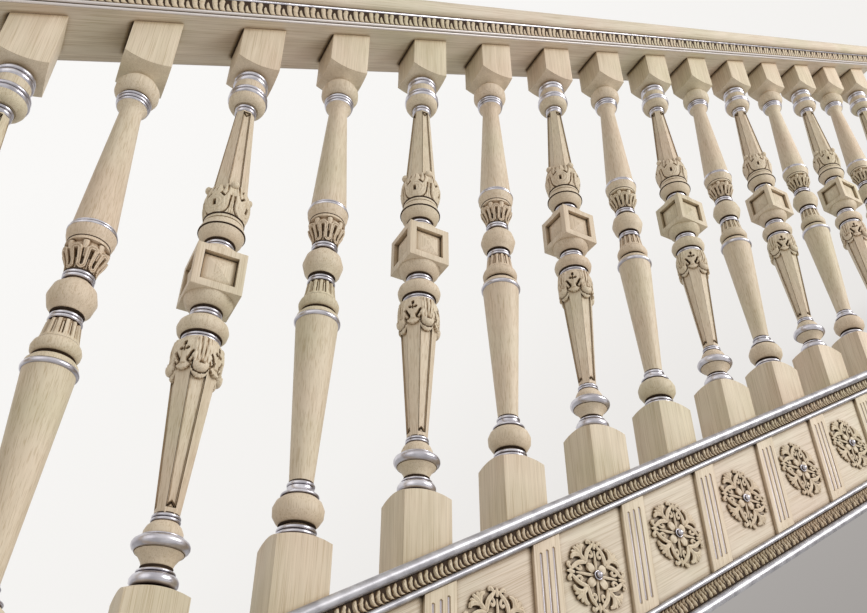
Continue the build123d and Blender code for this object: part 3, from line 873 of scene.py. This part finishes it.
ball_oak, ball_silver, ball_shade = turn("ball", BALL_SECTIONS, BALL_SHADE_BANDS)
ball_carving = join(
    [
        carved_ring("tongue_bell", 314, 339.5, 20, 144, tongue_bell),
        carved_ring("serpentine_bell", 401, 443, 42, 160, serpentine_bell),
    ],
    "ball_carving",
)
panelled_carving = join(
    [
        carved_ring("leaf_capital", 221, 281, 60, 160, leaf_capital),
        carved_ring("scroll_collar", 458.8, 513.5, 54, 160, scroll_collar),
    ],
    "panelled_carving",
)
panelled_oak, panelled_silver, panelled_shade = turn("panelled", PANELLED_SECTIONS, PANELLED_SHADE_BANDS)
inserts = [middle_block(), sunk_shaft("shaft", LOWER_SHAFT), sunk_shaft("shaft", UPPER_SHAFT)]
panelled_oak = join([panelled_oak] + inserts, "panelled_oak")
for nodes, patterns in (
    (PANELLED, (panelled_oak, panelled_silver, panelled_carving, panelled_shade)),
    (BALLED, (ball_oak, ball_silver, ball_carving, ball_shade)),
):
    finishes = (
        ("turned_oak", UPRIGHT_OAK, "oak"),
        ("silver_rings", SILVER, "silver_leaf"),
        ("carving", CARVED_OAK, "carved_oak"),
        # Near-black painted shade bands in the creases
        ("painted_shade_lines", PAINTED_SHADE_DARK, "oak"),
    )
    for pattern in patterns:
        smooth(pattern)
    for node in nodes:
        x = middle_x(node)
        for pattern, (kind, material, slot) in zip(patterns, finishes):
            dress(copy_to(pattern, f"{node}_{kind}", x, AXIS_Y, datum(x)), material, slot, node)
    discard(*patterns)

# Carved strips
LET_IN = 1  # how far the back of a strip or a pilaster goes into its board
GROUND_THICKNESS = 1
GROUND_MARGIN = 0.02


def section_lines(low, high):
    """The way up across a strip and the way out of it, both as depth and height."""
    slope = Vector((high[0] - low[0], high[1] - low[1]))
    out = Vector((-slope.y, slope.x)).normalized()
    if out.x * low[0] < 0:
        out.negate()
    return slope, out


def carved_strip(name, count, start, low, high, proud, path, relief):
    """A run of equal carved cells between two edges, given in depth from the axis and height on the rake.

    Each row of a cell slides along the run by its entry in path and stands out by its row of relief.
    """
    pitch = RUN / MM / count
    columns = len(relief[0])
    bands = len(STRIP_ROWS) - 1
    slope, out = section_lines(low, high)
    clear_selection()
    bpy.ops.mesh.primitive_grid_add(x_subdivisions=columns, y_subdivisions=bands, size=1)
    strip = bpy.context.object
    strip.name = name
    for vertex in strip.data.vertices:
        column = round((vertex.co.x + 0.5) * columns)
        row = round((vertex.co.y + 0.5) * bands)
        stand = proud * relief[row][column % columns]
        section = Vector(low) + slope * STRIP_ROWS[row] + out * stand
        x = start - pitch + pitch * column / columns + path[row]
        vertex.co = (x * MM, section.x * MM, (section.y + x * SLOPE) * MM)
    strip.data.update()
    pick(strip)
    array = strip.modifiers.new("cells", "ARRAY")
    array.count = count + 2
    array.use_relative_offset = False
    array.use_constant_offset = True
    array.constant_offset_displace = (pitch * MM, 0, pitch * SLOPE * MM)
    array.use_merge_vertices = True
    array.merge_threshold = 0.05 * MM
    bpy.ops.object.modifier_apply(modifier="cells")
    edit(strip)
    bpy.ops.mesh.normals_make_consistent(inside=False)
    for x, side in ((0, -1), (RUN, 1)):
        bpy.ops.mesh.select_all(action="SELECT")
        bpy.ops.mesh.bisect(plane_co=(x, 0, 0), plane_no=(side, 0, 0), clear_outer=True, threshold=0.001 * MM)
    select_open_edges()
    bpy.ops.mesh.extrude_edges_move()
    back = -out * (proud + LET_IN) * MM
    bpy.ops.transform.translate(value=(0, back.x, back.y))
    bpy.ops.mesh.edge_face_add()
    face_outwards()
    bpy.ops.transform.translate(value=(RUN_START, AXIS_Y, datum(RUN_START)))
    clear_selection()
    return strip


def painted_shade_sheet(name, low, high, stand):
    """The dark sheet behind the leaves of a strip: painted shade that shows between them."""
    slope, out = section_lines(low, high)
    clear_selection()
    bpy.ops.mesh.primitive_cube_add(size=2)
    ground = bpy.context.object
    ground.name = name
    for vertex in ground.data.vertices:
        level = stand if vertex.co.y < 0 else stand - GROUND_THICKNESS
        up = GROUND_MARGIN + (0.5 - GROUND_MARGIN) * (vertex.co.z + 1)
        section = Vector(low) + slope * up + out * level
        x = (vertex.co.x + 1) / 2 * RUN
        vertex.co = (x + RUN_START, section.x * MM + AXIS_Y, section.y * MM + x * SLOPE + datum(RUN_START))
    edit(ground)
    bpy.ops.mesh.normals_make_consistent(inside=False)
    clear_selection()
    return ground


STRIP_ROWS = [0, 0.1, 0.22, 0.36, 0.5, 0.64, 0.78, 0.9, 1]
UPPER_PATH = [13.0, 10.0, 7.4, 5.2, 3.8, 2.7, 2.0, 0.8, 0]
LOWER_PATH = [4.2, 3.8, 3.6, 3.4, 2.2, 0.8, -0.2, 0, 0]
RAIL_PATH = [14.0, 11.6, 9.2, 7.0, 5.2, 3.8, 2.6, 1.2, 0]
LEAF_RELIEF = [
    [0.5, 0.6, 0.6, 0.2, 0.5, 0.6, 0.5, 0.2, 0.5, 0.6, 0.6, 0.2],
    [0.7, 0.9, 0.8, 0.2, 0.7, 0.9, 0.7, 0.2, 0.7, 0.9, 0.8, 0.1],
    [0.3, 0.8, 0.9, 0.5, 0.3, 0.8, 0.9, 0.5, 0.3, 0.7, 0.8, 0.2],
    [0.1, 0.6, 1.0, 0.8, 0.2, 0.5, 0.9, 0.8, 0.2, 0.4, 0.8, 0.4],
    [0.1, 0.4, 1.0, 0.9, 0.5, 0.2, 0.8, 1.0, 0.6, 0.2, 0.6, 0.6],
    [0.2, 0.2, 0.9, 0.9, 0.8, 0.2, 0.7, 0.9, 0.9, 0.4, 0.2, 0.5],
    [0.2, 0.1, 0.7, 1.0, 0.9, 0.3, 0.3, 0.8, 1.0, 0.8, 0.2, 0.3],
    [0.2, 0.1, 0.4, 0.9, 0.9, 0.6, 0.1, 0.4, 0.9, 0.9, 0.4, 0.1],
    [0.1, 0.1, 0.2, 0.5, 0.6, 0.4, 0.1, 0.2, 0.5, 0.6, 0.3, 0.1],
]
BOARD_FRONT = -53.0
BOARD_CELLS = 116
BOARD_PROUD = 3.9
# Stand of the near-black painted shade sheet behind the board strips
BOARD_SHADE_STAND = 1.6
UPPER_EDGES = ((BOARD_FRONT, -102.4), (BOARD_FRONT, -84.9))
LOWER_EDGES = ((BOARD_FRONT, -273.9), (BOARD_FRONT, -254.6))
RAIL_CELLS = 79
RAIL_PROUD = 2.4
# Stand of the near-black painted shade sheet behind the rail strips
RAIL_SHADE_STAND = 1.05
RAIL_EDGES = [((side * 48.4, 825.7), (side * 54, 844.5)) for side in (-1, 1)]
upper_strip = carved_strip(
    "upper_leaf_strip", BOARD_CELLS, 2.2, *UPPER_EDGES, BOARD_PROUD, UPPER_PATH, LEAF_RELIEF
)
lower_strip = carved_strip(
    "lower_leaf_strip", BOARD_CELLS, 15.3, *LOWER_EDGES, BOARD_PROUD, LOWER_PATH, LEAF_RELIEF[::-1]
)
dress(upper_strip, CARVED_RAKED_OAK, "carved_oak", "string_upper_frieze")
dress(lower_strip, CARVED_RAKED_OAK, "carved_oak", "string_lower_frieze")
rail_strips = [
    carved_strip("rail_leaf_strip", RAIL_CELLS, 18.1, *edges, RAIL_PROUD, RAIL_PATH, LEAF_RELIEF)
    for edges in RAIL_EDGES
]
dress(join(rail_strips, "rail_leaf_strips"), CARVED_RAKED_OAK, "carved_oak", "rail_friezes")
# Painted shade: near-black sheets behind the carved strips darken the gaps between the leaves
grounds = [painted_shade_sheet("ground", *edges, BOARD_SHADE_STAND) for edges in (UPPER_EDGES, LOWER_EDGES)]
grounds += [painted_shade_sheet("ground", *edges, RAIL_SHADE_STAND) for edges in RAIL_EDGES]
dress(join(grounds, "painted_shade_sheets"), PAINTED_SHADE_DARK, "carved_oak")

# Fluted pilasters
PILASTER_HALF = 18.5
PILASTER_TOP = -110.5
PILASTER_FOOT = -246.5
PILASTER_FRONT = -58.0
PILASTER_EDGE = 0.8
PANEL_MIDDLE = (PILASTER_TOP + PILASTER_FOOT) / 2
FLUTE_SPACING = 9.0
FLUTE_HALF = 56
FLUTE_RADIUS = 2.1
FLUTE_AXIS = PILASTER_FRONT - 0.3
LINER_RADIUS = 1.7
LINER_AXIS = PILASTER_FRONT + 2.5
LINER_GAP = 0.6


def raked_block(name, half_width, low, high, back, front):
    """A block with upright sides whose top and foot follow the rake."""
    clear_selection()
    bpy.ops.mesh.primitive_cube_add(size=1)
    block = bpy.context.object
    block.name = name
    edit(block)
    bpy.ops.transform.resize(value=(2 * half_width * MM, (back - front) * MM, (high - low) * MM))
    move(0, (back + front) / 2, (high + low) / 2)
    for side in (-1, 1):
        select_where(block, "VERT", lambda co: co.x * side > 0)
        move(0, 0, side * half_width * SLOPE)
    clear_selection()
    return block


def rod(name, radius, low, high, x, y):
    """An upright rod with round ends."""
    clear_selection()
    bpy.ops.mesh.primitive_uv_sphere_add(segments=16, ring_count=8, radius=radius * MM)
    piece = bpy.context.object
    piece.name = name
    select_where(piece, "VERT", lambda co: co.z > NEAR)
    move(0, 0, high - low - 2 * radius)
    bpy.ops.mesh.select_all(action="SELECT")
    move(x, y, low + radius)
    clear_selection()
    return piece


pilaster = raked_block("pilaster", PILASTER_HALF, PILASTER_FOOT, PILASTER_TOP, BOARD_FRONT + LET_IN, PILASTER_FRONT)
select_where(pilaster, "EDGE", lambda a, b: max(a.y, b.y) < PILASTER_FRONT * MM + NEAR)
bpy.ops.mesh.bevel(offset=PILASTER_EDGE * MM, segments=2, affect="EDGES")
clear_selection()
liners = []
for k in (-1, 0, 1):
    x = FLUTE_SPACING * k
    low, high = (PANEL_MIDDLE + x * SLOPE + end * FLUTE_HALF for end in (-1, 1))
    boolean(pilaster, rod("flute", FLUTE_RADIUS, low, high, x, FLUTE_AXIS), "DIFFERENCE")
    liners.append(rod("liner", LINER_RADIUS, low + LINER_GAP, high - LINER_GAP, x, LINER_AXIS))
liner = join(liners, "flute_liner")
smooth(pilaster, 30)
smooth(liner)
boards, leaf = [], []
for index in range(COUNT):
    x = FIRST_X + index * PITCH
    boards.append(copy_to(pilaster, "pilaster", x, AXIS_Y, datum(x)))
    leaf.append(copy_to(liner, "liner", x, AXIS_Y, datum(x)))
discard(pilaster, liner)
dress(join(boards, "fluted_pilasters"), UPRIGHT_OAK, "oak", "string_pilasters")
dress(join(leaf, "silvered_flutes"), FLUTE_LEAF, "silver_leaf", "string_pilasters")

# Openwork ornaments


def stem(points, radii, flatten=1.0):
    """A tapering bar along a path in the plane of the board, in millimetres from the ornament's middle."""
    clear_selection()
    bpy.ops.curve.primitive_nurbs_path_add()
    path = bpy.context.object
    spline = path.data.splines[0]
    spline.points.add(max(0, len(points) - len(spline.points)))
    while len(spline.points) > len(points):
        points = points + [points[-1]]
        radii = radii + [radii[-1]]
    for knot, (x, z), radius in zip(spline.points, points, radii):
        knot.co = (x * MM, 0, z * MM, 1)
        knot.radius = radius
    spline.use_endpoint_u = True
    spline.order_u = 3
    spline.resolution_u = 2
    path.data.bevel_depth = MM
    path.data.bevel_resolution = 1
    path.data.use_fill_caps = True
    bpy.ops.object.convert(target="MESH")
    piece = bpy.context.object
    edit(piece)
    bpy.ops.mesh.remove_doubles(threshold=0.02 * MM)
    bpy.ops.transform.resize(value=(1, flatten, 1))
    bpy.ops.mesh.normals_make_consistent(inside=False)
    clear_selection()
    return piece


def mirrored_pair(piece):
    """The piece and its mirror image across the diagonal x = z."""
    twin = duplicate(piece)
    edit(twin)
    bpy.ops.transform.rotate(value=pi / 4, orient_axis="Y", center_override=(0, 0, 0))
    bpy.ops.transform.resize(value=(1, 1, -1), center_override=(0, 0, 0))
    bpy.ops.transform.rotate(value=-pi / 4, orient_axis="Y", center_override=(0, 0, 0))
    bpy.ops.mesh.normals_make_consistent(inside=False)
    clear_selection()
    return [piece, twin]


def ornament():
    """Openwork whose quarters each have five curved bars with their mirror images, two leaves and a stalk."""
    eighth = [
        stem([(13.5, 13.5), (18, 13.6), (26, 11.5), (32.5, 6), (37.5, 1.4)], [1.8, 2.9, 3.1, 2.6, 1.3]),
        stem([(35.5, 3.2), (39, 6.2), (39.5, 9.6), (36, 9.2)], [1.5, 2.5, 2.4, 1.4]),
        stem([(30.5, 7.4), (27, 3.8), (22.5, 3.9), (21, 7), (24, 8.4)], [1.5, 1.9, 2.0, 2.1, 1.6]),
        stem([(14.5, 16), (19, 20.4), (26, 22), (33, 19.4), (33.5, 15)], [2.0, 2.8, 3.3, 3.0, 1.6]),
        stem([(24, 21), (30, 24.5), (32.5, 22.6)], [1.6, 2.8, 1.5]),
    ]
    quarter = [half for piece in eighth for half in mirrored_pair(piece)]
    quarter += [
        stem([(15, 15), (19, 19), (24.5, 24.5), (29.5, 29.5)], [1.8, 3.0, 3.8, 1.8], 1.05),
        stem([(3.5, 3.5), (5, 5), (8.5, 8.5), (11.5, 11.5), (13, 13)], [2.0, 5.2, 6.0, 4.6, 1.2], 0.66),
        stem([(3, 0), (10, 0), (17, 0), (24, 0), (29, 0)], [2.2, 2.0, 1.8, 1.7, 1.0]),
        stem([(31, 0), (35, 0), (41, 0)], [1.6, 2.8, 1.2]),
    ]
    quarter = join(quarter, "quarter")
    quarters = [quarter]
    for turns in (1, 2, 3):
        other = duplicate(quarter)
        edit(other)
        bpy.ops.transform.rotate(value=turns * pi / 2, orient_axis="Y", center_override=(0, 0, 0))
        clear_selection()
        quarters.append(other)
    return join(quarters, "ornament")


BOSS_BEAD = 4.0
BOSS_BEAD_STAND = 6.5
BOSS_RING = 4.7
BOSS_WIRE = 1.0
BOSS_RING_STAND = 4
ORNAMENT_SEAT = 2.2

carving = ornament()
smooth(carving, 50)
clear_selection()
bpy.ops.mesh.primitive_uv_sphere_add(segments=18, ring_count=9, radius=BOSS_BEAD * MM)
bead = bpy.context.object
edit(bead)
bpy.ops.transform.rotate(value=pi / 2, orient_axis="X", center_override=(0, 0, 0))
bpy.ops.transform.resize(value=(1, 0.8, 1))
move(0, -BOSS_BEAD_STAND, 0)
clear_selection()
bpy.ops.mesh.primitive_torus_add(
    major_segments=28, minor_segments=10, major_radius=BOSS_RING * MM, minor_radius=BOSS_WIRE * MM
)
ring = bpy.context.object
edit(ring)
bpy.ops.transform.rotate(value=pi / 2, orient_axis="X", center_override=(0, 0, 0))
move(0, -BOSS_RING_STAND, 0)
clear_selection()
boss = join([bead, ring], "boss")
smooth(boss, 60)
carvings, bosses = [], []
for index in range(COUNT - 1):
    x = FIRST_X + (index + 0.5) * PITCH
    place = (x, AXIS_Y + (BOARD_FRONT - ORNAMENT_SEAT) * MM, datum(x) + PANEL_MIDDLE * MM)
    carvings.append(copy_to(carving, "ornament", *place))
    bosses.append(copy_to(boss, "boss", *place))
discard(carving, boss)
dress(join(carvings, "openwork_ornaments"), CARVED_OAK, "carved_oak", "string_ornaments")
dress(join(bosses, "silver_bosses"), SILVER, "silver_leaf", "string_ornaments")

# Pieces of the frame that stay as they are
for material, nodes in (
    (RAKED_OAK, ("string_timber", "string_face_board", "string_cap", "handrail", "sub_rail")),
    (SOFT_SILVER, ("string_upper_torus", "string_upper_bead", "string_lower_bead", "string_foot_torus")),
    (PALE_LEAF, ("rail_lower_beads",)),
    (SILVER, ("rail_upper_beads",)),
):
    for node in nodes:
        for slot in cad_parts[node].material_slots:
            slot.material = material

# Floor, light and camera
FLOOR_Z = cad_box[0][2] - 0.02
FLOOR_SIZE = 14
clear_selection()
bpy.ops.mesh.primitive_grid_add(x_subdivisions=4, y_subdivisions=4, size=FLOOR_SIZE)
floor = bpy.context.object
floor.name = "floor"
edit(floor)
bpy.ops.transform.translate(value=(0, 0, FLOOR_Z))
clear_selection()
floor.data.materials.append(plain_finish("pale_floor", (0.64, 0.64, 0.635), Roughness=0.8))

world = bpy.data.worlds.new("studio")
world.use_nodes = True
bpy.context.scene.world = world
tree = world.node_tree
background = tree.nodes["Background"]
place = add_node(tree, "ShaderNodeTexCoord").outputs["Generated"]
height = add_node(tree, "ShaderNodeSeparateXYZ", Vector=place)
sky = ramp(
    tree, height.outputs["Z"], ((0.0, (0.26, 0.26, 0.27)), (0.25, (0.66, 0.66, 0.67)), (0.8, (0.88, 0.88, 0.88)))
)
fall = add_node(tree, "ShaderNodeMath", {"operation": "SUBTRACT"}, _0=height.outputs["X"], _1=height.outputs["Z"])
spread = add_node(tree, "ShaderNodeMath", {"operation": "MULTIPLY_ADD"}, _0=fall.outputs[0], _1=0.5, _2=0.5)
# Painted shade: the backdrop seen by the camera and in reflections turns grey towards the lower right, like a stair
# underside in shadow
BACKDROP_WITH_PAINTED_SHADE = (
    (0.15, (0.955, 0.945, 0.93)),
    (0.45, (0.90, 0.885, 0.865)),
    (0.6, (0.82, 0.80, 0.78)),
    (0.68, (0.42, 0.40, 0.385)),
    (0.78, (0.37, 0.35, 0.335)),
)
backdrop = ramp(tree, spread.outputs[0], BACKDROP_WITH_PAINTED_SHADE)
rays = add_node(tree, "ShaderNodeLightPath").outputs
seen = add_node(tree, "ShaderNodeMath", {"operation": "MAXIMUM"}, _0=rays["Is Camera Ray"], _1=rays["Is Glossy Ray"])
tree.links.new(mixed(tree, seen.outputs[0], sky, backdrop), background.inputs["Color"])
background.inputs["Strength"].default_value = 1.0

LAMP_TARGET = Vector((0, AXIS_Y, 0.1))


def lamp(name, place, size, power):
    """A soft lamp in metres and watts, turned to the middle of the run."""
    light = bpy.data.lights.new(name, "AREA")
    light.shape = "RECTANGLE"
    light.size, light.size_y = size
    light.energy = power
    holder = bpy.data.objects.new(name, light)
    bpy.context.collection.objects.link(holder)
    holder.location = place
    holder.rotation_euler = (LAMP_TARGET - Vector(place)).to_track_quat("-Z", "Y").to_euler()


lamp("key_light", (2.3, -3.0, 1.7), (2.0, 1.6), 106)
lamp("side_light", (-2.6, -1.4, 0.4), (1.4, 2.4), 6)

# Camera: it stands low in front of the first balusters and looks up along the run
CAMERA_PLACE = (-0.8256, -0.8531, -0.4351)
CAMERA_RIGHT = Vector((0.87934, -0.47620, 0.00084))
CAMERA_FORWARD = Vector((0.38387, 0.70989, 0.59051))
LENS = 35.208
SENSOR = 36.0
camera_data = bpy.data.cameras.new("camera")
camera_data.lens = LENS
camera_data.sensor_width = SENSOR
camera_data.sensor_fit = "HORIZONTAL"
camera = bpy.data.objects.new("camera", camera_data)
bpy.context.collection.objects.link(camera)
forward = CAMERA_FORWARD.normalized()
right = (CAMERA_RIGHT - forward * CAMERA_RIGHT.dot(forward)).normalized()
up = right.cross(forward)
camera.matrix_world = Matrix.Translation(CAMERA_PLACE) @ Matrix((right, up, -forward)).transposed().to_4x4()
bpy.context.scene.camera = camera
bpy.context.scene.view_settings.view_transform = "Standard"
